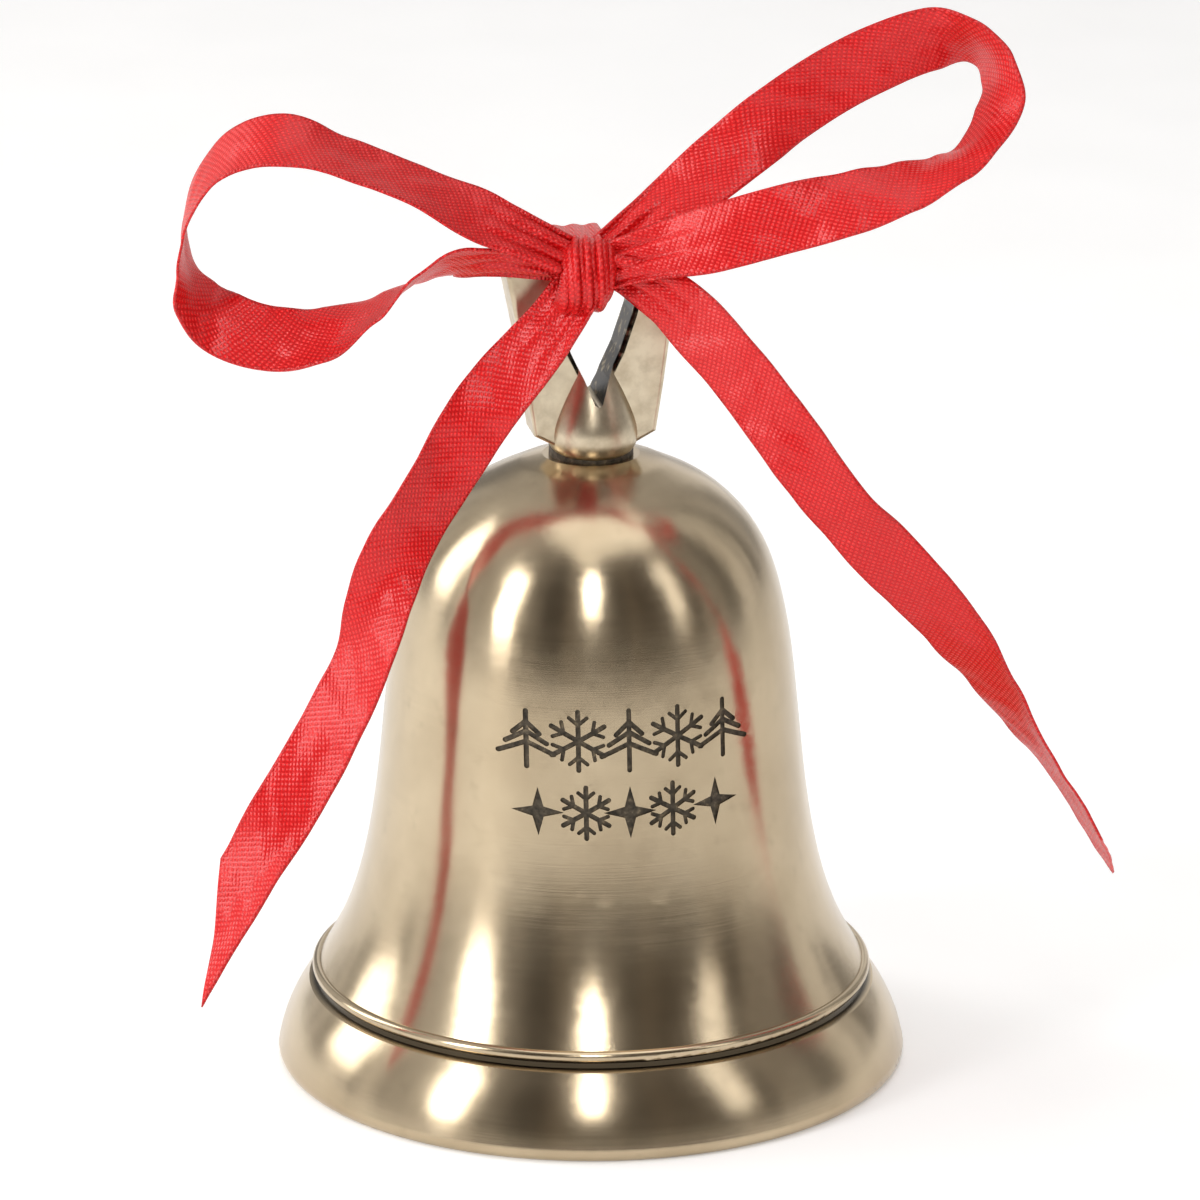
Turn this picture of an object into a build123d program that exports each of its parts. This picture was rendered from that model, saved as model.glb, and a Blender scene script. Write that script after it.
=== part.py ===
"""Small brass bell ornament on a cast loop handle, tied with a satin ribbon bow.

Millimetres, +Z up. The origin is on the bell's axis, on the plane the rim stands on.
The handle's broad face and the engraving look towards -Y.
"""
from build123d import *
import math
import os

# ---- driving dimensions -------------------------------------------------
rim_radius = 30.1
rim_seat_in = 28.0
rim_seat_out = 29.4
crown_z = 60.0
crown_seat_radius = 4.6
crown_under_z = 57.3
stud_radius = 1.5
bore_radius = 1.6

engrave_depth = 0.30
infill_thickness = 0.12
stroke = 0.46

collar_radius = 4.0
collar_top_z = 61.6

handle_depth = 5.0
handle_base_z = 61.2
handle_top_z = 81.0
hole_top_z = 77.3
stud_top_z = 64.0
chin_low_z = 60.15
chin_high_z = 70.0
chin_forward = 0.7

washer_radius = 4.2
washer_thickness = 0.6
nut_across_flats = 5.5
nut_height = 2.4

eye_major = 2.0
eye_wire = 0.6
eye_centre_z = 51.7
link_major = 2.0
link_wire = 0.5
rod_eye_major = 1.8
rod_eye_wire = 0.5
hang_gap = 0.05
rod_radius = 0.9
ball_radius = 5.2
ball_z = 13.0

ribbon_width = 6.35
ribbon_thickness = 0.4

# ---- levels of the hanging chain ----------------------------------------
eye_pivot_z = eye_centre_z - eye_major
link_top_z = eye_pivot_z + eye_wire + link_wire + hang_gap
link_centre_z = link_top_z - link_major
link_pivot_z = link_centre_z - link_major
rod_eye_top_z = link_pivot_z + link_wire + rod_eye_wire + hang_gap
rod_eye_centre_z = rod_eye_top_z - rod_eye_major
rod_top_z = rod_eye_centre_z - rod_eye_major

# ---- ribbon routes: the middle line of each stretch ---------------------
loop_left_route = [
    (-4.2, -6.2, 81.2),
    (-12.0, -5.4, 85.1),
    (-21.0, -4.2, 89.4),
    (-29.0, -2.2, 92.0),
    (-34.8, 0.8, 89.6),
    (-37.6, 3.0, 84.0),
    (-37.0, 3.2, 77.6),
    (-32.6, 1.4, 73.4),
    (-26.0, -1.6, 73.0),
    (-19.4, -3.8, 76.4),
    (-11.8, -5.6, 80.2),
    (-4.2, -6.4, 79.0),
]
loop_right_route = [
    (1.3, -6.2, 81.2),
    (8.0, -5.6, 85.8),
    (16.0, -4.8, 91.8),
    (24.0, -4.6, 96.5),
    (31.0, -5.0, 99.4),
    (35.6, -7.2, 98.4),
    (36.8, -10.0, 94.8),
    (33.4, -12.8, 91.2),
    (26.5, -14.6, 88.4),
    (18.0, -13.8, 86.0),
    (9.0, -10.4, 82.6),
    (1.3, -7.2, 79.6),
]
tail_left_route = [
    (-2.6, -6.4, 75.4),
    (-6.6, -6.6, 71.8),
    (-11.4, -6.9, 66.8),
    (-15.4, -7.6, 60.6),
    (-19.2, -8.5, 54.4),
    (-21.6, -9.3, 47.8),
    (-23.6, -9.9, 41.0),
    (-27.6, -10.6, 34.2),
    (-31.8, -11.4, 27.6),
    (-35.6, -12.0, 21.0),
    (-38.3, -12.3, 15.4),
]
tail_right_route = [
    (0.4, -6.6, 75.0),
    (4.8, -8.8, 73.6),
    (9.4, -12.8, 71.2),
    (13.6, -17.0, 67.6),
    (17.6, -20.0, 62.0),
    (22.6, -21.0, 56.2),
    (28.6, -20.9, 49.8),
    (33.4, -20.2, 43.0),
    (37.8, -19.4, 36.6),
    (42.0, -18.5, 30.2),
    (46.0, -18.0, 23.8),
]


def outer_side(shift=0.0):
    """The bell's outside from the bead up to the crown seat, moved in by shift."""
    points = [
        (26.10, 9.65),
        (23.75, 14.0),
        (22.35, 18.0),
        (21.20, 23.0),
        (20.45, 28.0),
        (19.92, 33.0),
        (19.42, 38.0),
        (18.85, 42.5),
        (18.05, 46.5),
        (16.80, 50.4),
        (15.05, 53.4),
        (12.70, 55.9),
        (9.90, 57.8),
        (7.40, 59.0),
        (crown_seat_radius, crown_z),
    ]
    return [(r - shift, z) for r, z in points]


def bell_profile():
    """Half section of the bell wall, in the XZ plane."""
    flare = outer_side()
    rim = ThreePointArc((rim_seat_out, 0), (29.96, 0.45), (rim_radius, 1.4))
    lip = ThreePointArc((rim_radius, 1.4), (29.05, 4.7), (27.15, 7.85))
    groove = Polyline((27.15, 7.85), (26.50, 8.10), (26.45, 8.55), (26.62, 8.75))
    bead = ThreePointArc((26.62, 8.75), (26.82, 9.20), flare[0])
    side = Spline(*flare, tangents=[(-0.62, 1.0), (-1.0, 0.30)])
    seat = Polyline(flare[-1], (bore_radius, crown_z), (bore_radius, crown_under_z), (5.2, crown_under_z))
    inside = Spline(
        (5.2, crown_under_z),
        (8.5, 55.9),
        (11.3, 53.9),
        (13.6, 51.5),
        (15.3, 48.8),
        (16.6, 45.3),
        (17.4, 41.5),
        (18.3, 33.0),
        (19.6, 23.0),
        (21.9, 15.0),
        (25.0, 8.5),
        (rim_seat_in, 0.0),
    )
    foot = Line((rim_seat_in, 0), (rim_seat_out, 0))
    outline = Wire([rim, lip, *groove.edges(), bead, side, *seat.edges(), inside, foot])
    return Plane.XZ * make_face(outline)


def side_layer(outer_shift, inner_shift):
    """A ring between two offsets of the bell's side, where the engraving lies."""
    near = [p for p in outer_side(outer_shift) if 22.0 < p[1] < 47.0]
    far = [p for p in outer_side(inner_shift) if 22.0 < p[1] < 47.0]
    walls = Wire([Spline(*near), Line(near[-1], far[-1]), Spline(*far[::-1]), Line(far[0], near[0])])
    return revolve(Plane.XZ * make_face(walls), Axis.Z)


def bar(x0, z0, x1, z1, width=stroke):
    """A straight engraved stroke with round ends, as a flat sketch."""
    length = math.hypot(x1 - x0, z1 - z0)
    angle = math.degrees(math.atan2(z1 - z0, x1 - x0))
    place = Pos((x0 + x1) / 2, (z0 + z1) / 2) * Rot(0, 0, angle)
    return place * SlotOverall(length + width, width)


def snowflake(x, z, radius):
    strokes = []
    for turn in range(6):
        a = math.radians(90 + 60 * turn)
        strokes.append(bar(x, z, x + radius * math.cos(a), z + radius * math.sin(a)))
        bx = x + 0.55 * radius * math.cos(a)
        bz = z + 0.55 * radius * math.sin(a)
        for side in (-1, 1):
            b = a + side * math.radians(50)
            reach = 0.38 * radius
            strokes.append(bar(bx, bz, bx + reach * math.cos(b), bz + reach * math.sin(b), 0.36))
    return Sketch() + strokes


def fir_tree(x, z, height):
    half = height / 2
    strokes = [bar(x, z - half, x, z + half)]
    for level, spread in ((0.62, 0.22), (0.28, 0.34), (-0.10, 0.46)):
        top = z + level * half
        for side in (-1, 1):
            strokes.append(bar(x, top, x + side * spread * height, top - 0.42 * half))
    return Sketch() + strokes


def four_point_star(x, z, radius):
    points = []
    for turn in range(8):
        reach = radius if turn % 2 == 0 else 0.30 * radius
        a = math.radians(90 + 45 * turn)
        points.append((x + reach * math.cos(a), z + reach * math.sin(a)))
    return make_face(Polyline(*points, close=True))


def motifs():
    """Two rows of winter motifs on the front of the bell, as flat sketches."""
    upper = [fir_tree(-9.3, 37.8, 5.2), snowflake(-4.7, 37.8, 2.75), fir_tree(0.0, 37.8, 5.6)]
    upper += [snowflake(4.7, 37.8, 2.75), fir_tree(9.3, 37.8, 5.2)]
    lower = [four_point_star(-8.4, 31.0, 2.3), snowflake(-4.1, 31.0, 2.4), four_point_star(0.0, 31.0, 2.5)]
    lower += [snowflake(4.1, 31.0, 2.4), four_point_star(8.4, 31.0, 2.3)]
    return upper + lower


def engraving(outer_shift, inner_shift):
    """The motifs pressed into the layer between two offsets of the side."""
    layer = side_layer(outer_shift, inner_shift)
    front = Plane(origin=(0, -12, 0), x_dir=(1, 0, 0), z_dir=(0, -1, 0))
    marks = []
    for motif in motifs():
        marks += (extrude(front * motif, 12) & layer).solids()
    return marks


def handle():
    """Cast loop handle: a flat widening shield with a pointed eye and a round chin over the collar."""
    right = [(3.4, handle_base_z), (5.8, 62.5), (6.5, 67.0), (7.1, 71.5), (8.4, 78.0), (7.9, 79.6)]
    left = [(-x, z) for x, z in right[::-1]]
    top = ThreePointArc(right[-1], (0, handle_top_z), left[0])
    outline = Wire([*Polyline(*right).edges(), top, *Polyline(*left).edges(), Line(left[-1], right[0])])
    face = Plane.XZ * make_face(outline)
    blank = extrude(face, handle_depth / 2, both=True)
    hole_right = [(0.45, 66.0), (1.15, 67.9), (2.3, 70.4), (3.5, 74.0), (4.1, 76.4)]
    hole_left = [(-x, z) for x, z in hole_right[::-1]]
    tip = ThreePointArc(hole_left[-1], (0, 65.6), hole_right[0])
    arch = ThreePointArc(hole_right[-1], (0, hole_top_z), hole_left[0])
    eye = Wire([tip, *Polyline(*hole_right).edges(), arch, *Polyline(*hole_left).edges()])
    eye_prism = extrude(Plane.XZ * make_face(eye), handle_depth + 2, both=True)
    blank -= eye_prism
    long_edges = [e for e in blank.edges() if abs(abs(e.center().Y) - handle_depth / 2) < 0.01]
    blank = fillet(long_edges, 0.45)
    swell = [(2.0, chin_low_z), (3.95, 60.95), (4.35, 62.3), (4.0, 64.3), (3.0, 67.0), (2.0, chin_high_z)]
    half = Wire([
        Line((0, chin_low_z), swell[0]),
        Spline(*swell),
        Line(swell[-1], (0, chin_high_z)),
        Line((0, chin_high_z), (0, chin_low_z)),
    ])
    chin = Pos(0, -chin_forward, 0) * revolve(Plane.XZ * make_face(half), Axis.Z)
    return blank + (chin - eye_prism)


def eye_bolt():
    """Threaded stud through the crown, ending in the eye that carries the clapper."""
    shaft = Pos(0, 0, (stud_top_z + eye_centre_z + eye_major) / 2) * Cylinder(
        stud_radius, stud_top_z - eye_centre_z - eye_major
    )
    ring = Pos(0, 0, eye_centre_z) * Rot(90, 0, 0) * Torus(eye_major, eye_wire)
    return shaft + ring


def hex_nut():
    outline = RegularPolygon(nut_across_flats / math.sqrt(3), 6)
    top = crown_under_z - washer_thickness
    body = Pos(0, 0, top - nut_height) * extrude(outline, nut_height)
    return body - Pos(0, 0, top - nut_height / 2) * Cylinder(stud_radius, 2 * nut_height)


def clapper_rod():
    """Wire rod with its eye, screwed into the ball."""
    ring = Pos(0, 0, rod_eye_centre_z) * Rot(90, 0, 0) * Torus(rod_eye_major, rod_eye_wire)
    rod = Pos(0, 0, (rod_top_z + ball_z) / 2) * Cylinder(rod_radius, rod_top_z - ball_z)
    return ring + rod


def clapper_ball():
    ball = Pos(0, 0, ball_z) * Sphere(ball_radius)
    return ball - Pos(0, 0, ball_z + ball_radius / 2) * Cylinder(rod_radius, ball_radius)


def knot():
    """The tight knot in front of the handle's top bar."""
    block = Box(5.5, 5.6, 7.4)
    return Pos(-1.45, -6.15, 78.9) * fillet(block.edges(), 1.5)


def wrap():
    """The ribbon's turn round the handle's top bar, through the eye."""
    ring = RectangleRounded(6.7, 5.6, 1.2) - RectangleRounded(6.0, 5.0, 0.85)
    placed = Plane(origin=(-3.5, 0, 78.8), x_dir=(0, 1, 0), z_dir=(1, 0, 0)) * ring
    return extrude(placed, 4.5)


def corner_radii(route):
    """0.45 of the shorter run over the tangent of half the turn, at each corner."""
    radii = []
    for before, here, after in zip(route, route[1:], route[2:]):
        run_in = Vector(here) - Vector(before)
        run_out = Vector(after) - Vector(here)
        half_turn = math.radians(run_in.get_angle(run_out)) / 2
        radii.append(0.45 * min(run_in.length, run_out.length) / math.tan(half_turn))
    return radii


def strip(name, route, side):
    """A flat ribbon along straight runs joined by tangent arcs."""
    radii = corner_radii(route)
    path = FilletPolyline(*route, radius=radii)
    tangent = path % 0
    across = Vector(side) - tangent * Vector(side).dot(tangent)
    start = Plane(origin=path @ 0, x_dir=across, z_dir=tangent)
    body = sweep(start * Rectangle(ribbon_width, ribbon_thickness), path=path)
    print(name, "radii", [round(r, 1) for r in radii])
    print(name, "length", round(path.length, 1), "volume ratio",
          round(body.volume / (path.length * ribbon_width * ribbon_thickness), 3))
    return body


def build():
    bell = revolve(bell_profile(), Axis.Z)
    for mark in engraving(-1.0, engrave_depth):
        bell -= mark
    infill = Compound(children=engraving(engrave_depth - infill_thickness, engrave_depth))
    bolt = eye_bolt()
    loop = handle() - Pos(0, 0, (stud_top_z + crown_z) / 2) * Cylinder(stud_radius, stud_top_z - crown_z)
    collar = Pos(0, 0, (crown_z + collar_top_z) / 2) * Cylinder(collar_radius, collar_top_z - crown_z)
    collar = collar - loop - Pos(0, 0, crown_z) * Cylinder(stud_radius, 10)
    washer_z = crown_under_z - washer_thickness / 2
    washer = Pos(0, 0, washer_z) * (Cylinder(washer_radius, washer_thickness) - Cylinder(bore_radius, 2))
    link = Pos(0, 0, link_centre_z) * Rot(0, 90, 0) * Torus(link_major, link_wire)
    return {
        "bell_body": bell,
        "engraving_infill": infill,
        "neck_collar": collar,
        "handle_loop": loop,
        "eye_bolt": bolt,
        "inner_washer": washer,
        "hex_nut": hex_nut(),
        "clapper_link": link,
        "clapper_rod": clapper_rod(),
        "clapper_ball": clapper_ball(),
        "ribbon_knot": knot(),
        "ribbon_wrap": wrap(),
        "ribbon_loop_left": strip("loop_left", loop_left_route, (-0.25, -0.93, -0.25)),
        "ribbon_loop_right": strip("loop_right", loop_right_route, (0.3, -0.8, -0.4)),
        "ribbon_tail_left": strip("tail_left", tail_left_route, (0.63, -0.63, -0.46)),
        "ribbon_tail_right": strip("tail_right", tail_right_route, (0.4, -0.75, 0.35)),
    }


os.makedirs("parts", exist_ok=True)
for node, shape in build().items():
    export_step(shape, f"parts/{node}.step")
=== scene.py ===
"""Looks for the small brass bell ornament with its satin ribbon bow. Metres, in the CAD frame."""

import math

import bpy
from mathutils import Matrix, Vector, noise


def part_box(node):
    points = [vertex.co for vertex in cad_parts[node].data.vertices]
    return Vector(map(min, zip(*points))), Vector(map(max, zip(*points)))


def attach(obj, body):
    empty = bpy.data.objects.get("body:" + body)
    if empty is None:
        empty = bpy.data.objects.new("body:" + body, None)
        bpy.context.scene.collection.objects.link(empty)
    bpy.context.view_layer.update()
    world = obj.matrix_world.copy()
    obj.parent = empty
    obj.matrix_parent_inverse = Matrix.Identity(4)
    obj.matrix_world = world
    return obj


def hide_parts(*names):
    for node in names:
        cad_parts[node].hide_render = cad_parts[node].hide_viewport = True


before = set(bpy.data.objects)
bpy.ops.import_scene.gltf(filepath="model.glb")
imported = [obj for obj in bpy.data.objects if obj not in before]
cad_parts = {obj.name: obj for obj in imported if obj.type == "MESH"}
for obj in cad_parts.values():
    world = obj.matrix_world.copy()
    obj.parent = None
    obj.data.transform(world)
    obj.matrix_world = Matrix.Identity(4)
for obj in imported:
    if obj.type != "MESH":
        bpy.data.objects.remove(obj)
bpy.context.scene.view_settings.view_transform = "Standard"
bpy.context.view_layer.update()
MM = 0.001


# ---- camera ---------------------------------------------------------------
CAMERA_LENS = 221.3
CAMERA_SENSOR = 36
CAMERA_SHIFT = 0.0075
CAMERA_TARGET = (0, 0, 45.4 * MM)
CAMERA_AZIMUTH = -10.5
CAMERA_ELEVATION = 17.6
CAMERA_DISTANCE = 0.7


def direction(azimuth, elevation):
    """Away from the bell, in degrees; azimuth 0 is in front of it, 90 to its right."""
    a, e = math.radians(azimuth), math.radians(elevation)
    return Vector((math.sin(a) * math.cos(e), -math.cos(a) * math.cos(e), math.sin(e)))


def place_camera():
    data = bpy.data.cameras.new("camera")
    data.lens = CAMERA_LENS
    data.sensor_width = CAMERA_SENSOR
    data.shift_x = CAMERA_SHIFT
    data.clip_start = 0.01
    camera = bpy.data.objects.new("camera", data)
    bpy.context.scene.collection.objects.link(camera)
    back = direction(CAMERA_AZIMUTH, CAMERA_ELEVATION)
    camera.location = Vector(CAMERA_TARGET) + CAMERA_DISTANCE * back
    camera.rotation_euler = (-back).to_track_quat("-Z", "Y").to_euler()
    bpy.context.scene.camera = camera


place_camera()


# ---- node helpers ---------------------------------------------------------
class Nodes:
    """A material's node tree with short calls for adding and linking nodes."""

    def __init__(self, name):
        self.material = bpy.data.materials.new(name)
        self.material.use_nodes = True
        self.tree = self.material.node_tree
        self.shader = self.tree.nodes["Principled BSDF"]

    def add(self, kind, **settings):
        node = self.tree.nodes.new(kind)
        for key, value in settings.items():
            setattr(node, key, value)
        return node

    def put(self, socket, value):
        if isinstance(value, bpy.types.NodeSocket):
            self.tree.links.new(value, socket)
        else:
            socket.default_value = value

    def math(self, operation, *values):
        node = self.add("ShaderNodeMath", operation=operation)
        for socket, value in zip(node.inputs, values):
            self.put(socket, value)
        return node.outputs[0]

    def ramp(self, factor, *stops):
        node = self.add("ShaderNodeValToRGB")
        self.put(node.inputs[0], factor)
        ramp = node.color_ramp
        while len(ramp.elements) < len(stops):
            ramp.elements.new(0.5)
        for element, (place, colour) in zip(ramp.elements, stops):
            element.position = place
            element.color = colour if len(colour) == 4 else (*colour, 1)
        return node.outputs[0]

    def grey(self, factor, *stops):
        return self.ramp(factor, *[(place, (v, v, v)) for place, v in stops])

    def mix(self, factor, a, b, blend="MIX"):
        node = self.add("ShaderNodeMix", data_type="RGBA", blend_type=blend)
        self.put(node.inputs[0], factor)
        self.put(node.inputs[6], a if isinstance(a, bpy.types.NodeSocket) else (*a, 1))
        self.put(node.inputs[7], b if isinstance(b, bpy.types.NodeSocket) else (*b, 1))
        return node.outputs[2]

    def place(self, scale=(1, 1, 1), source="Object", turn=(0, 0, 0)):
        coords = self.add("ShaderNodeTexCoord")
        mapping = self.add("ShaderNodeMapping")
        self.put(mapping.inputs["Vector"], coords.outputs[source])
        mapping.inputs["Scale"].default_value = scale
        mapping.inputs["Rotation"].default_value = turn
        return mapping.outputs[0]

    def noise(self, vector, scale, detail=3.0, rough=0.5):
        node = self.add("ShaderNodeTexNoise")
        self.put(node.inputs["Vector"], vector)
        node.inputs["Scale"].default_value = scale
        node.inputs["Detail"].default_value = detail
        node.inputs["Roughness"].default_value = rough
        return node.outputs[0]

    def bump(self, height, strength, distance, normal=None):
        node = self.add("ShaderNodeBump")
        node.inputs["Strength"].default_value = strength
        node.inputs["Distance"].default_value = distance
        self.put(node.inputs["Height"], height)
        if normal is not None:
            self.put(node.inputs["Normal"], normal)
        return node.outputs[0]

    def set(self, **values):
        for key, value in values.items():
            self.put(self.shader.inputs[key.replace("_", " ")], value)
        return self.material


def axis_coords(n):
    """Angle round the bell's axis, height, and radius, from object coordinates."""
    coords = n.add("ShaderNodeTexCoord")
    parts = n.add("ShaderNodeSeparateXYZ")
    n.put(parts.inputs[0], coords.outputs["Object"])
    x, y, z = parts.outputs
    angle = n.math("ARCTAN2", y, x)
    radius = n.math("SQRT", n.math("ADD", n.math("MULTIPLY", x, x), n.math("MULTIPLY", y, y)))
    return angle, z, radius


# The dark groove above the rim: heights where its patina starts, is full, is still full and ends.
GROOVE_HEIGHTS = (7.9 * MM, 8.04 * MM, 8.56 * MM, 8.74 * MM)
GROOVE_RADIUS = 25.2 * MM
HEIGHT_TO_RAMP = 50.0


def groove_patina(n, z, radius):
    """1 in the groove on the outside of the bell, and 0 elsewhere."""
    stops = zip(GROOVE_HEIGHTS, (0.0, 1.0, 1.0, 0.0))
    band = n.grey(n.math("MULTIPLY", z, HEIGHT_TO_RAMP), *[(HEIGHT_TO_RAMP * h, v) for h, v in stops])
    return n.math("MULTIPLY", band, n.math("GREATER_THAN", radius, GROOVE_RADIUS))


def tinted(colour, factor):
    return tuple(factor * c for c in colour)


def brushed_brass(name, light, dark, roughness, anisotropy, streaks=1.0, old=0.0, turn=0.0):
    """Brass brushed round the axis: fine rings in roughness and bump, soft stains in colour."""
    n = Nodes(name)
    angle, z, radius = axis_coords(n)
    ring = n.add("ShaderNodeCombineXYZ")
    n.put(ring.inputs[0], n.math("MULTIPLY", n.math("SINE", angle), 1.4))
    n.put(ring.inputs[1], n.math("MULTIPLY", n.math("COSINE", angle), 1.4))
    slant = n.math("ADD", z, n.math("MULTIPLY", radius, -0.7))
    n.put(ring.inputs[2], n.math("MULTIPLY", slant, 9000.0))
    fine = n.noise(ring.outputs[0], 1.0, 4.0, 0.7)
    broad = n.noise(n.place(), 90.0, 3.0, 0.55)
    groove = groove_patina(n, z, radius)
    stain = n.noise(n.place(), 380.0, 4.0, 0.6)
    colour = n.mix(n.grey(broad, (0.30, 0.0), (0.70, 1.0)), dark, light)
    colour = n.mix(n.grey(stain, (0.58, 0.0), (0.80, 0.30)), colour, tinted(dark, 0.62))
    colour = n.mix(n.grey(fine, (0.35, 0.10 * streaks), (0.70, 0.0)), colour, tinted(dark, 0.5))
    colour = n.mix(n.math("MULTIPLY", groove, old), colour, (0.045, 0.035, 0.022))
    rough = n.add("ShaderNodeMapRange")
    n.put(rough.inputs[0], n.math("ADD", n.math("MULTIPLY", fine, 0.6), n.math("MULTIPLY", broad, 0.4)))
    n.put(rough.inputs[3], roughness - 0.06)
    n.put(rough.inputs[4], roughness + 0.08)
    normal = n.bump(fine, 0.10 * streaks, 0.00004)
    normal = n.bump(broad, 0.10, 0.0002, normal)
    tangent = n.add("ShaderNodeTangent", direction_type="RADIAL", axis="Z")
    n.set(Base_Color=colour, Roughness=rough.outputs[0], Normal=normal, Tangent=tangent.outputs[0])
    n.set(Metallic=1.0, Anisotropic=anisotropy, Anisotropic_Rotation=turn)
    return n.material


def eye_wall_shade(n, eye_floor):
    """1 on the wall inside the handle's eye, which faces the middle, where shade is painted, and 0
    elsewhere.
    """
    place, facing = n.add("ShaderNodeSeparateXYZ"), n.add("ShaderNodeSeparateXYZ")
    n.put(place.inputs[0], n.add("ShaderNodeTexCoord").outputs["Object"])
    n.put(facing.inputs[0], n.add("ShaderNodeNewGeometry").outputs["Normal"])
    inward = n.math("MULTIPLY", n.math("MULTIPLY", place.outputs[0], facing.outputs[0]), -1000.0)
    above = n.math("GREATER_THAN", place.outputs[2], eye_floor)
    return n.math("MULTIPLY", n.grey(inward, (0.15, 0.0), (0.35, 1.0)), above)


def cast_brass(name, light, dark, roughness, pit=0.25, eye_floor=None):
    """Satin cast brass: soft mottling, dark casting pits, and painted shade on the wall inside the eye.
    """
    n = Nodes(name)
    spots = n.noise(n.place(), 260.0, 4.0, 0.6)
    mottle = n.noise(n.place(), 900.0, 3.0, 0.6)
    grain = n.noise(n.place(scale=(1, 1, 0.25)), 4200.0, 3.0, 0.6)
    pits = n.add("ShaderNodeTexVoronoi")
    n.put(pits.inputs["Vector"], n.place())
    pits.inputs["Scale"].default_value = 420.0
    pit_mask = n.grey(pits.outputs[0], (0.02, 1.0), (0.10, 0.0))
    colour = n.mix(n.grey(spots, (0.35, 0.0), (0.65, 1.0)), dark, light)
    colour = n.mix(n.grey(mottle, (0.45, 0.0), (0.75, 0.35)), colour, tinted(dark, 0.7))
    colour = n.mix(n.math("MULTIPLY", pit_mask, pit), colour, tinted(dark, 0.2))
    # Painted shade: the wall inside the eye is darkened, near black where the mottling is low and lighter
    # where it is high.
    if eye_floor:
        eye_shade_deep, oxide_and_shade, eye_shade_light = (0.010, 0.008, 0.006), (0.05, 0.038, 0.025), (0.40, 0.33, 0.22)
        painted_wall_shade = n.ramp(mottle, (0.42, eye_shade_deep), (0.56, oxide_and_shade), (0.70, eye_shade_light))
        colour = n.mix(eye_wall_shade(n, eye_floor), colour, painted_wall_shade)
    rough = n.add("ShaderNodeMapRange")
    n.put(rough.inputs[0], mottle)
    n.put(rough.inputs[3], roughness - 0.05)
    n.put(rough.inputs[4], roughness + 0.12)
    normal = n.bump(grain, 0.12, 0.00005)
    normal = n.bump(n.math("MULTIPLY", pit_mask, -1.0), 0.25 * pit, 0.0002, normal)
    n.set(Base_Color=colour, Roughness=rough.outputs[0], Normal=normal, Metallic=1.0)
    return n.material


def dark_patina(name):
    """Nearly black oxide with a little brass showing through, for the engraving and the neck."""
    n = Nodes(name)
    spots = n.noise(n.place(), 1600.0, 4.0, 0.65)
    oxide_and_shade, worn, brass = (0.030, 0.024, 0.016), (0.085, 0.066, 0.042), (0.26, 0.20, 0.12)
    colour = n.ramp(spots, (0.35, oxide_and_shade), (0.58, worn), (0.78, brass))
    n.set(Base_Color=colour, Roughness=n.grey(spots, (0.3, 0.75), (0.75, 0.42)), Metallic=0.35)
    n.set(Normal=n.bump(spots, 0.5, 0.00012))
    return n.material


def plated_steel(name):
    n = Nodes(name)
    turned = n.noise(n.place(scale=(1, 1, 12)), 900.0, 3.0, 0.6)
    colour = n.ramp(turned, (0.3, (0.42, 0.41, 0.38)), (0.7, (0.62, 0.61, 0.58)))
    n.set(Base_Color=colour, Roughness=n.grey(turned, (0.3, 0.28), (0.7, 0.45)), Metallic=1.0)
    n.set(Normal=n.bump(turned, 0.15, 0.0001))
    return n.material


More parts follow.
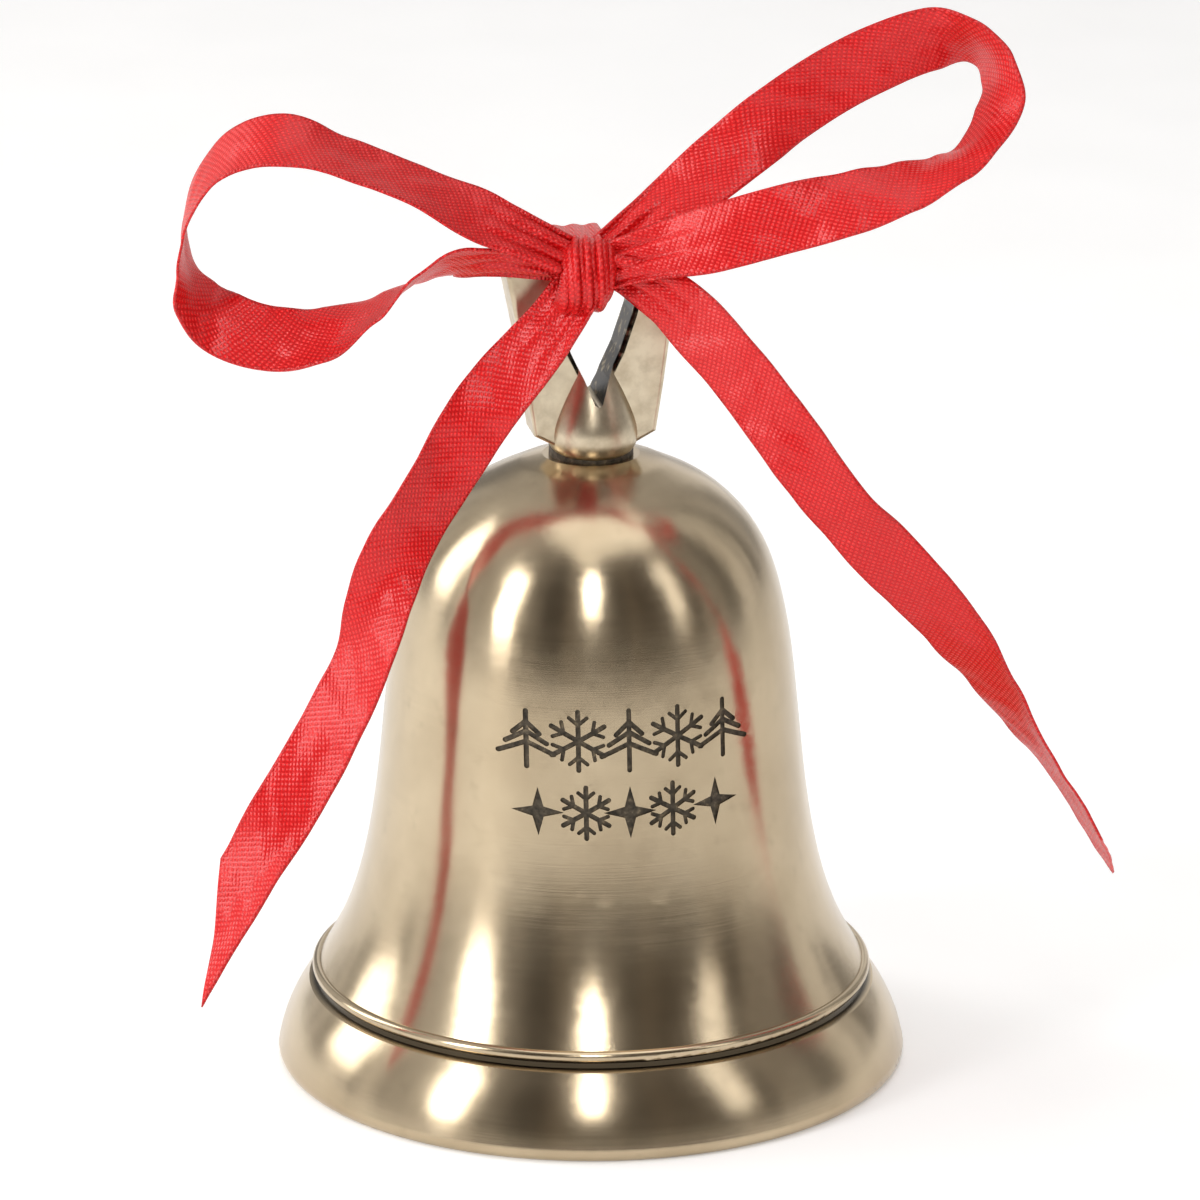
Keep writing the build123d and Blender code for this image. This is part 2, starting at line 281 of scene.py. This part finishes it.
def red_satin(name):
    """Woven satin ribbon: rows of floats on the diagonal, corded edges and a soft sheen, with painted
    shade between the floats and painted glints on their crowns.

    The ribbon's own coordinates are used: U along it and V across it, both in millimetres.
    """
    n = Nodes(name)
    coords = n.add("ShaderNodeTexCoord")
    parts = n.add("ShaderNodeSeparateXYZ")
    n.put(parts.inputs[0], coords.outputs["UV"])
    along, across = parts.outputs[0], parts.outputs[1]
    wobble = n.noise(coords.outputs["UV"], 0.9, 2.0, 0.5)
    shifted = n.math("ADD", across, n.math("MULTIPLY", wobble, 0.25))
    row = n.math("ADD", along, n.math("MULTIPLY", shifted, 0.62))
    row = n.math("SINE", n.math("MULTIPLY", row, 11.5))
    column = n.math("SUBTRACT", shifted, n.math("MULTIPLY", along, 0.55))
    column = n.math("SINE", n.math("MULTIPLY", column, 15.5))
    floats = n.math("MULTIPLY", n.math("ADD", row, 1.0), n.math("ADD", column, 1.0))
    floats = n.math("MULTIPLY", floats, 0.25)
    yarn = n.noise(coords.outputs["UV"], 5.5, 3.0, 0.6)
    edge = n.math("ABSOLUTE", across)
    selvedge = n.grey(n.math("DIVIDE", edge, 3.2), (0.88, 0.0), (0.93, 1.0))
    shaded_and_edge_red = (0.620, 0.0005, 0.003)
    mid = (0.900, 0.003, 0.008)
    glint_red = (1.000, 0.090, 0.070)
    # Painted shade and highlight: the red is darker between the floats, and painted glints brighten the
    # floats' crowns.
    colour = n.mix(n.grey(floats, (0.05, 0.0), (0.55, 1.0)), shaded_and_edge_red, mid)
    crowns = n.grey(floats, (0.45, 0.0), (0.95, 1.0))
    glint = n.math("MULTIPLY", crowns, n.grey(yarn, (0.35, 0.2), (0.7, 1.0)))
    colour = n.mix(glint, colour, glint_red)
    # The corded edges are darkened with the same red as the painted shade.
    colour = n.mix(n.math("MULTIPLY", selvedge, 0.35), colour, shaded_and_edge_red)
    cords = n.math("SINE", n.math("MULTIPLY", along, 17.0))
    corded = n.math("MULTIPLY", selvedge, n.math("ADD", 0.4, n.math("MULTIPLY", cords, 0.4)))
    height = n.math("ADD", floats, corded)
    height = n.math("ADD", height, n.math("MULTIPLY", yarn, 0.3))
    crush = n.noise(coords.outputs["UV"], 0.24, 2.0, 0.5)
    normal = n.bump(crush, 0.30, 0.0014)
    n.set(Coat_Normal=n.bump(height, 0.25, 0.00011, normal))
    normal = n.bump(height, 0.85, 0.00011, normal)
    tangent = n.add("ShaderNodeTangent", direction_type="UV_MAP")
    n.set(Base_Color=colour, Normal=normal, Tangent=tangent.outputs[0])
    n.set(Roughness=n.grey(floats, (0.1, 0.42), (0.8, 0.26)), Metallic=0.35)
    n.set(IOR=1.30, Anisotropic=0.8, Anisotropic_Rotation=0.25, Sheen_Weight=0.06, Sheen_Roughness=0.4)
    n.set(Coat_Weight=0.50, Coat_Roughness=0.26, Coat_IOR=1.65, Coat_Tint=(1.0, 0.92, 0.90, 1))
    n.set(Sheen_Tint=(1.0, 0.45, 0.38, 1), Specular_Tint=(1.0, 0.74, 0.68, 1))
    return n.material


SATIN = red_satin("red_satin")


# ---- ribbon ---------------------------------------------------------------
RIBBON_WIDTH = 6.35 * MM
RIBBON_THICK = 0.24 * MM
RIBBON_ROW = 0.32 * MM
RIBBON_COLUMNS = 24
GATHER_LENGTH = 11 * MM

# Each stop: the ribbon's middle, and the direction from one edge to the other.
# These routes are finer than the CAD strips' routes, and don't repeat their points.
LOOP_LEFT = [
    ((-3.6, -6.8, 81.1), (-0.30, -0.60, -0.75)),
    ((-9.6, -6.0, 84.0), (-0.42, -0.70, -0.57)),
    ((-16.8, -4.8, 87.8), (-0.41, -0.86, -0.30)),
    ((-23.9, -3.6, 90.7), (-0.42, -0.85, -0.30)),
    ((-29.4, -2.2, 92.4), (-0.30, -0.78, -0.55)),
    ((-33.9, 0.0, 91.1), (-0.29, -0.78, -0.55)),
    ((-36.7, 2.0, 87.2), (-0.21, -0.92, -0.33)),
    ((-38.0, 3.0, 83.0), (-0.20, -0.97, -0.11)),
    ((-38.0, 3.4, 79.4), (-0.29, -0.93, -0.22)),
    ((-37.0, 3.0, 76.0), (-0.37, -0.71, -0.60)),
    ((-34.3, 1.8, 73.5), (-0.30, -0.42, -0.86)),
    ((-30.1, 0.0, 72.4), (-0.13, -0.56, -0.82)),
    ((-25.7, -1.8, 73.0), (-0.10, -0.81, -0.58)),
    ((-20.7, -3.4, 76.0), (0.02, -1.00, 0.06)),
    ((-16.7, -4.4, 79.2), (-0.09, -0.91, 0.41)),
    ((-12.3, -5.2, 81.1), (-0.20, -0.78, 0.60)),
    ((-3.4, -5.4, 79.6), (-0.25, -0.60, 0.76)),
]
LOOP_RIGHT = [
    ((0.2, -5.2, 80.4), (0.10, -0.60, -0.79)),
    ((6.4, -5.0, 84.9), (0.32, -0.72, -0.62)),
    ((12.1, -4.6, 89.3), (0.42, -0.56, -0.72)),
    ((17.7, -4.4, 93.5), (0.49, -0.08, -0.87)),
    ((24.2, -4.4, 97.3), (0.40, -0.07, -0.91)),
    ((30.9, -4.8, 100.0), (0.30, 0.12, -0.94)),
    ((35.2, -6.2, 99.8), (0.08, 0.62, -0.78)),
    ((36.9, -8.2, 97.4), (-0.26, 0.83, -0.49)),
    ((36.7, -10.2, 94.2), (-0.50, 0.82, -0.26)),
    ((34.2, -12.4, 91.2), (-0.43, 0.87, -0.24)),
    ((31.1, -13.8, 89.7), (-0.26, 0.95, 0.10)),
    ((26.5, -14.4, 88.2), (-0.25, 0.86, 0.45)),
    ((22.0, -14.4, 87.0), (-0.21, 0.68, 0.70)),
    ((15.3, -13.2, 85.3), (-0.19, 0.33, 0.92)),
    ((9.3, -11.2, 83.2), (-0.15, 0.42, 0.89)),
    ((4.9, -8.8, 81.8), (-0.05, 0.50, 0.86)),
    ((0.4, -7.0, 80.0), (0.05, 0.45, 0.89)),
]
TAIL_LEFT = [
    ((-2.0, -6.3, 78.2), (0.58, -0.68, -0.44)),
    ((-4.0, -6.4, 75.2), (0.62, -0.63, -0.46)),
    ((-6.8, -6.6, 72.0), (0.64, -0.60, -0.48)),
    ((-9.9, -6.8, 68.8), (0.70, -0.45, -0.53)),
    ((-12.9, -7.0, 64.7), (0.80, -0.10, -0.58)),
    ((-15.4, -7.6, 60.7), (0.83, 0.13, -0.55)),
    ((-18.0, -8.3, 57.1), (0.82, 0.16, -0.56)),
    ((-20.3, -8.9, 53.6), (0.89, -0.02, -0.46)),
    ((-21.9, -9.3, 49.0), (0.86, -0.49, -0.12)),
    ((-23.3, -9.8, 43.8), (0.68, -0.73, -0.06)),
    ((-25.9, -10.3, 38.8), (0.72, -0.65, -0.25)),
    ((-28.7, -10.8, 33.9), (0.70, -0.57, -0.43)),
    ((-31.6, -11.3, 29.5), (0.72, -0.48, -0.50)),
    ((-34.8, -11.8, 24.5), (0.62, -0.73, -0.30)),
    ((-38.9, -12.3, 17.3), (0.58, -0.81, -0.10)),
]
TAIL_RIGHT = [
    ((0.6, -6.8, 79.4), (0.10, -0.52, 0.85)),
    ((4.7, -8.5, 78.0), (0.48, -0.26, 0.84)),
    ((7.6, -11.0, 75.4), (0.62, -0.37, 0.70)),
    ((10.3, -13.6, 72.4), (0.64, -0.48, 0.60)),
    ((13.1, -16.4, 68.7), (0.73, -0.45, 0.52)),
    ((15.6, -18.5, 65.1), (0.77, -0.40, 0.49)),
    ((17.8, -19.9, 61.9), (0.69, -0.48, 0.54)),
    ((20.1, -20.6, 59.0), (0.60, -0.47, 0.64)),
    ((23.4, -21.0, 55.4), (0.63, -0.28, 0.72)),
    ((27.1, -21.0, 51.5), (0.54, -0.42, 0.73)),
    ((30.8, -20.6, 46.9), (0.37, -0.58, 0.72)),
    ((34.4, -20.0, 41.6), (0.17, -0.80, 0.57)),
    ((37.6, -19.4, 36.9), (0.03, -0.91, 0.42)),
    ((40.8, -18.8, 32.2), (-0.07, -0.92, 0.38)),
    ((46.0, -18.0, 23.8), (-0.12, -0.91, 0.39)),
]


def spline_points(name, stops):
    """Points read from the route's own NURBS spline."""
    data = bpy.data.curves.new(name, "CURVE")
    data.dimensions = "3D"
    data.resolution_u = 20
    spline = data.splines.new("NURBS")
    spline.points.add(len(stops) - 1)
    for point, (place, _) in zip(spline.points, stops):
        point.co = (*(MM * c for c in place), 1)
    spline.order_u = 3
    spline.use_endpoint_u = True
    guide = bpy.data.objects.new(name, data)
    mesh = bpy.data.meshes.new_from_object(guide)
    points = [v.co.copy() for v in mesh.vertices]
    bpy.data.objects.remove(guide)
    bpy.data.meshes.remove(mesh)
    return points


def smooth(x):
    x = min(max(x, 0.0), 1.0)
    return x * x * (3 - 2 * x)


def lengths(points):
    out = [0.0]
    for a, b in zip(points, points[1:]):
        out.append(out[-1] + (b - a).length)
    return out


def at(points, marks, s):
    """The point and direction at length s along the points, carried on straight past the end."""
    if s >= marks[-1]:
        i = len(marks) - 2
    else:
        i = max(k for k in range(len(marks) - 1) if marks[k] <= max(s, 0.0))
    step = points[i + 1] - points[i]
    t = (s - marks[i]) / (marks[i + 1] - marks[i])
    return points[i] + step * t, step.normalized()


def ribbon(name, stops, pleats=(0.0, 0.0), tip=(0.0, 0.0), reach=0.0, cup=0.12, seed=0.0):
    """A satin strip along a route: it pleats where the knot gathers it and ends on a slant."""
    points = spline_points(name + "_guide", stops)
    marks = lengths(points)
    keys = []
    for place, side in stops:
        middle = Vector(place) * MM
        nearest = min(range(len(points)), key=lambda k: (points[k] - middle).length)
        keys.append((marks[nearest], Vector(side).normalized()))
    keys.sort(key=lambda key: key[0])
    total = marks[-1]
    rows = int(total / RIBBON_ROW)
    cols = RIBBON_COLUMNS
    verts, uvs = [], []
    for i in range(rows + 1):
        for j in range(cols + 1):
            v = j / cols - 0.5
            end = total + reach + tip[0] * (0.5 - v) + tip[1] * (0.5 + v)
            s = end * i / rows
            middle, tangent = at(points, marks, s)
            k = 0
            while k < len(keys) - 2 and keys[k + 1][0] < s:
                k += 1
            span = max(keys[k + 1][0] - keys[k][0], 1e-6)
            side = keys[k][1].lerp(keys[k + 1][1], smooth((s - keys[k][0]) / span))
            side = (side - tangent * side.dot(tangent)).normalized()
            normal = side.cross(tangent)
            gather = pleats[0] * (1 - smooth(s / GATHER_LENGTH))
            gather += pleats[1] * (1 - smooth((total - s) / GATHER_LENGTH))
            narrow = 1 - 0.42 * gather
            fold = 0.40 * MM * gather * math.cos(2 * math.pi * (3.1 * v + 0.2 + seed))
            fold += 0.18 * MM * gather * math.cos(2 * math.pi * (6.3 * v + 0.6 + seed))
            ripple = 0.30 * MM * noise.noise(Vector((s * 130 + seed * 9, v * 1.6, seed)))
            ripple += 0.10 * MM * noise.noise(Vector((s * 420 - v * 2.0, v * 3.1, 3 * seed)))
            lift = -cup * MM * (4 * v * v - 0.33) + fold + ripple
            verts.append(middle + side * (v * RIBBON_WIDTH * narrow) + normal * lift)
            uvs.append((s / MM, v * RIBBON_WIDTH / MM))
    return strip_mesh(name, verts, grid_faces(rows, cols), uvs), points


def grid_faces(rows, cols):
    """Quads over a grid of rows + 1 by cols + 1 vertices, laid row by row."""
    corners = [i * (cols + 1) + j for i in range(rows) for j in range(cols)]
    return [(a, a + 1, a + cols + 2, a + cols + 1) for a in corners]


def strip_mesh(name, verts, faces, uvs, thick=RIBBON_THICK):
    mesh = bpy.data.meshes.new(name)
    mesh.from_pydata(verts, [], faces)
    layer = mesh.uv_layers.new(name="ribbon")
    for loop in mesh.loops:
        layer.data[loop.index].uv = uvs[loop.vertex_index]
    for face in mesh.polygons:
        face.use_smooth = True
    mesh.materials.append(SATIN)
    piece = bpy.data.objects.new(name, mesh)
    bpy.context.scene.collection.objects.link(piece)
    solid = piece.modifiers.new("thickness", "SOLIDIFY")
    solid.thickness = thick
    solid.offset = 0.0
    solid.use_even_offset = False
    return piece


def knot_band(name, centre, width, radius_y, radius_z, start, stop, thick, seed):
    """The band of gathered ribbon wound over the front of the knot."""
    rows, cols = 110, 56
    verts, uvs = [], []
    for i in range(rows + 1):
        turn = math.radians(start + (stop - start) * i / rows)
        for j in range(cols + 1):
            v = j / cols - 0.5
            x = v * width
            roll = 1 - 0.34 * abs(2 * v) ** 4
            crease = 0.055 * math.sin(2 * math.pi * (4.2 * v + 0.35 * math.sin(turn * 1.3 + seed)) + seed)
            crease += 0.035 * math.sin(2 * math.pi * (9.1 * v + 0.6 * math.sin(turn * 1.9)) + 2 * seed)
            crease += 0.07 * noise.noise(Vector((v * 5 + seed, turn * 1.4, seed)))
            swell = roll + crease * (1 - abs(2 * v) ** 4)
            y = -radius_y * swell * math.cos(turn)
            z = radius_z * swell * math.sin(turn)
            lean = 0.35 * MM * math.sin(turn * 1.1)
            verts.append(Vector(centre) * MM + Vector((x + lean, y, z)))
            uvs.append((turn * radius_z / MM, v * RIBBON_WIDTH / MM))
    return strip_mesh(name, verts, grid_faces(rows, cols), uvs, thick)


def wrap_band(name):
    """The turn of ribbon round the handle's top bar, through the eye."""
    low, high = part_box("ribbon_wrap")
    centre_y, centre_z = (low[1] + high[1]) / 2, (low[2] + high[2]) / 2
    outline = []
    radius = 1.0 * MM
    corners = [
        (low[1] + radius, low[2] + radius, 180),
        (high[1] - radius, low[2] + radius, 270),
        (high[1] - radius, high[2] - radius, 0),
        (low[1] + radius, high[2] - radius, 90),
    ]
    for y, z, first in corners:
        for step in range(9):
            a = math.radians(first + 90 * step / 8)
            outline.append((y + radius * math.cos(a), z + radius * math.sin(a)))
    cols = 20
    verts, uvs = [], []
    for i, (y, z) in enumerate(outline + outline[:1]):
        for j in range(cols + 1):
            v = j / cols - 0.5
            x = (low[0] + high[0]) / 2 + v * (high[0] - low[0])
            sag = 0.10 * MM * math.cos(2 * math.pi * 2.4 * v)
            out = Vector((0, y - centre_y, z - centre_z)).normalized()
            verts.append(Vector((x, y, z)) + out * (sag - 0.12 * MM))
            uvs.append((i * 0.7, v * RIBBON_WIDTH / MM))
    return strip_mesh(name, verts, grid_faces(len(outline), cols), uvs)


# How far each edge of a tail's end runs past its middle.
TIP_LEFT = (-7.9 * MM, 4.7 * MM)
TIP_RIGHT = (4.6 * MM, -2.5 * MM)
KNOT_CENTRE = (-1.8, -5.9, 78.9)
KNOT_WIDTH = 5.1 * MM
KNOT_RADII = (3.2 * MM, 3.45 * MM)
KNOT_THICK = 0.3 * MM


def tie_ribbon():
    left, left_path = ribbon("bow_loop_left", LOOP_LEFT, pleats=(0.9, 0.9), seed=0.1)
    right, right_path = ribbon("bow_loop_right", LOOP_RIGHT, pleats=(0.8, 0.7), seed=0.5)
    tail_l, tail_l_path = ribbon("bow_tail_left", TAIL_LEFT, pleats=(0.45, 0), tip=TIP_LEFT, seed=0.8)
    tail_r, tail_r_path = ribbon("bow_tail_right", TAIL_RIGHT, pleats=(0.7, 0), tip=TIP_RIGHT, seed=1.3)
    knot = knot_band("bow_knot", KNOT_CENTRE, KNOT_WIDTH, *KNOT_RADII, -150, 150, KNOT_THICK, 0.7)
    wrap = wrap_band("bow_wrap")
    for piece in (left, right, tail_l, tail_r, knot, wrap):
        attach(piece, "bell")
    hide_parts("ribbon_loop_left")
    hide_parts("ribbon_loop_right")
    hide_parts("ribbon_tail_left")
    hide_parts("ribbon_tail_right")
    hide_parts("ribbon_knot")
    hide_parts("ribbon_wrap")


tie_ribbon()


# ---- metal ----------------------------------------------------------------
BELL_LIGHT, BELL_DARK = (0.60, 0.49, 0.335), (0.46, 0.365, 0.24)
HANDLE_LIGHT, HANDLE_DARK = (0.66, 0.57, 0.42), (0.50, 0.41, 0.285)
CLAPPER_LIGHT, CLAPPER_DARK = (0.72, 0.54, 0.29), (0.56, 0.41, 0.20)
EYE_FLOOR = 65.2 * MM


def finish_metal():
    bell = brushed_brass("bell_brass", BELL_LIGHT, BELL_DARK, 0.20, 0.62, old=0.95, turn=0.25)
    plain = brushed_brass("plain_brass", (0.72, 0.52, 0.26), (0.55, 0.38, 0.18), 0.30, 0.2)
    finishes = {
        "bell_body": bell,
        "handle_loop": cast_brass("handle_brass", HANDLE_LIGHT, HANDLE_DARK, 0.30, eye_floor=EYE_FLOOR),
        "neck_collar": dark_patina("aged_brass"),
        "engraving_infill": dark_patina("dark_infill"),
        "eye_bolt": plain,
        "clapper_link": plain,
        "clapper_rod": plain,
        "clapper_ball": brushed_brass("clapper_brass", CLAPPER_LIGHT, CLAPPER_DARK, 0.26, 0.3),
        "inner_washer": plated_steel("washer_steel"),
        "hex_nut": plated_steel("nut_steel"),
    }
    for node, material in finishes.items():
        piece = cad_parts[node]
        piece.data.materials.clear()
        piece.data.materials.append(material)


finish_metal()


# ---- floor, light and surroundings ----------------------------------------
FLOOR_HALF = 4.0
FLOOR_GLOW = 0.22
LIGHT_AIM = (0, 0, 45 * MM)
ROOM_STRENGTH = 0.85


def stage_floor():
    n = Nodes("pale_floor")
    grain = n.noise(n.place(), 40.0, 3.0, 0.5)
    n.set(Base_Color=n.grey(grain, (0.3, 0.93), (0.7, 0.96)), Roughness=0.9)
    n.set(Emission_Color=(1, 1, 1, 1), Emission_Strength=FLOOR_GLOW)
    mesh = bpy.data.meshes.new("floor")
    corners = [(x * FLOOR_HALF, y * FLOOR_HALF, 0) for x, y in ((-1, -1), (1, -1), (1, 1), (-1, 1))]
    mesh.from_pydata(corners, [], [(0, 1, 2, 3)])
    mesh.materials.append(n.material)
    # Seen from underneath, the floor isn't there, so the inside of the bell shows.
    surface = n.add("ShaderNodeMixShader")
    n.put(surface.inputs[0], n.add("ShaderNodeNewGeometry").outputs["Backfacing"])
    n.put(surface.inputs[1], n.shader.outputs[0])
    n.put(surface.inputs[2], n.add("ShaderNodeBsdfTransparent").outputs[0])
    n.put(n.tree.nodes["Material Output"].inputs["Surface"], surface.outputs[0])
    floor = bpy.data.objects.new("floor", mesh)
    bpy.context.scene.collection.objects.link(floor)


def softbox(name, azimuth, elevation, width, height, radiance, distance=0.9):
    """A rectangular light aimed at the bell."""
    out = direction(azimuth, elevation)
    data = bpy.data.lights.new(name, "AREA")
    data.shape = "RECTANGLE"
    data.size, data.size_y = width, height
    data.energy = radiance * math.pi * width * height
    light = bpy.data.objects.new(name, data)
    light.location = Vector(LIGHT_AIM) + distance * out
    light.rotation_euler = (-out).to_track_quat("-Z", "Y").to_euler()
    bpy.context.scene.collection.objects.link(light)


def set_stops(node, *stops):
    """The places and colours of a ramp's two stops."""
    for element, (place, colour) in zip(node.color_ramp.elements, stops):
        element.position = place
        element.color = (*colour, 1)


def light_world():
    world = bpy.data.worlds.new("studio")
    bpy.context.scene.world = world
    world.use_nodes = True
    tree = world.node_tree
    tree.nodes.clear()
    output = tree.nodes.new("ShaderNodeOutputWorld")
    room = tree.nodes.new("ShaderNodeBackground")
    white = tree.nodes.new("ShaderNodeBackground")
    white.inputs[0].default_value = (1, 1, 1, 1)
    white.inputs[1].default_value = 1.0
    mix = tree.nodes.new("ShaderNodeMixShader")
    path = tree.nodes.new("ShaderNodeLightPath")
    coords = tree.nodes.new("ShaderNodeTexCoord")
    dot = tree.nodes.new("ShaderNodeVectorMath")
    dot.operation = "DOT_PRODUCT"
    dot.inputs[1].default_value = Vector((0.16, -0.95, 0.24)).normalized()
    ramp = tree.nodes.new("ShaderNodeValToRGB")
    set_stops(ramp, (0.05, (0.95, 0.95, 0.96)), (0.75, (0.15, 0.13, 0.11)))
    tree.links.new(coords.outputs["Generated"], dot.inputs[0])
    tree.links.new(dot.outputs["Value"], ramp.inputs[0])
    # Upright light and dark stretches, as of a room's windows and furniture.
    parts = tree.nodes.new("ShaderNodeSeparateXYZ")
    around = tree.nodes.new("ShaderNodeMath")
    around.operation = "ARCTAN2"
    streaks = tree.nodes.new("ShaderNodeTexNoise")
    streaks.noise_dimensions = "1D"
    streaks.inputs["Scale"].default_value = 3.4
    streaks.inputs["Detail"].default_value = 2.0
    depth = tree.nodes.new("ShaderNodeValToRGB")
    set_stops(depth, (0.40, (0.35, 0.34, 0.33)), (0.62, (1.25, 1.23, 1.20)))
    product = tree.nodes.new("ShaderNodeVectorMath")
    product.operation = "MULTIPLY"
    tree.links.new(coords.outputs["Generated"], parts.inputs[0])
    tree.links.new(parts.outputs[0], around.inputs[0])
    tree.links.new(parts.outputs[1], around.inputs[1])
    tree.links.new(around.outputs[0], streaks.inputs["W"])
    tree.links.new(streaks.outputs[0], depth.inputs[0])
    tree.links.new(ramp.outputs[0], product.inputs[0])
    tree.links.new(depth.outputs[0], product.inputs[1])
    tree.links.new(product.outputs[0], room.inputs[0])
    room.inputs[1].default_value = ROOM_STRENGTH
    tree.links.new(path.outputs["Is Camera Ray"], mix.inputs[0])
    tree.links.new(room.outputs[0], mix.inputs[1])
    tree.links.new(white.outputs[0], mix.inputs[2])
    tree.links.new(mix.outputs[0], output.inputs[0])


stage_floor()
light_world()
softbox("strip_above", -10, 36, 0.09, 0.42, 14.0)
softbox("left_box", -65, 24, 0.18, 0.50, 10.0)
softbox("left_back", -118, 26, 0.30, 0.60, 4.0)
softbox("right_box", 46, 30, 0.16, 0.60, 1.8)
softbox("top_box", 20, 82, 0.70, 0.60, 1.4)
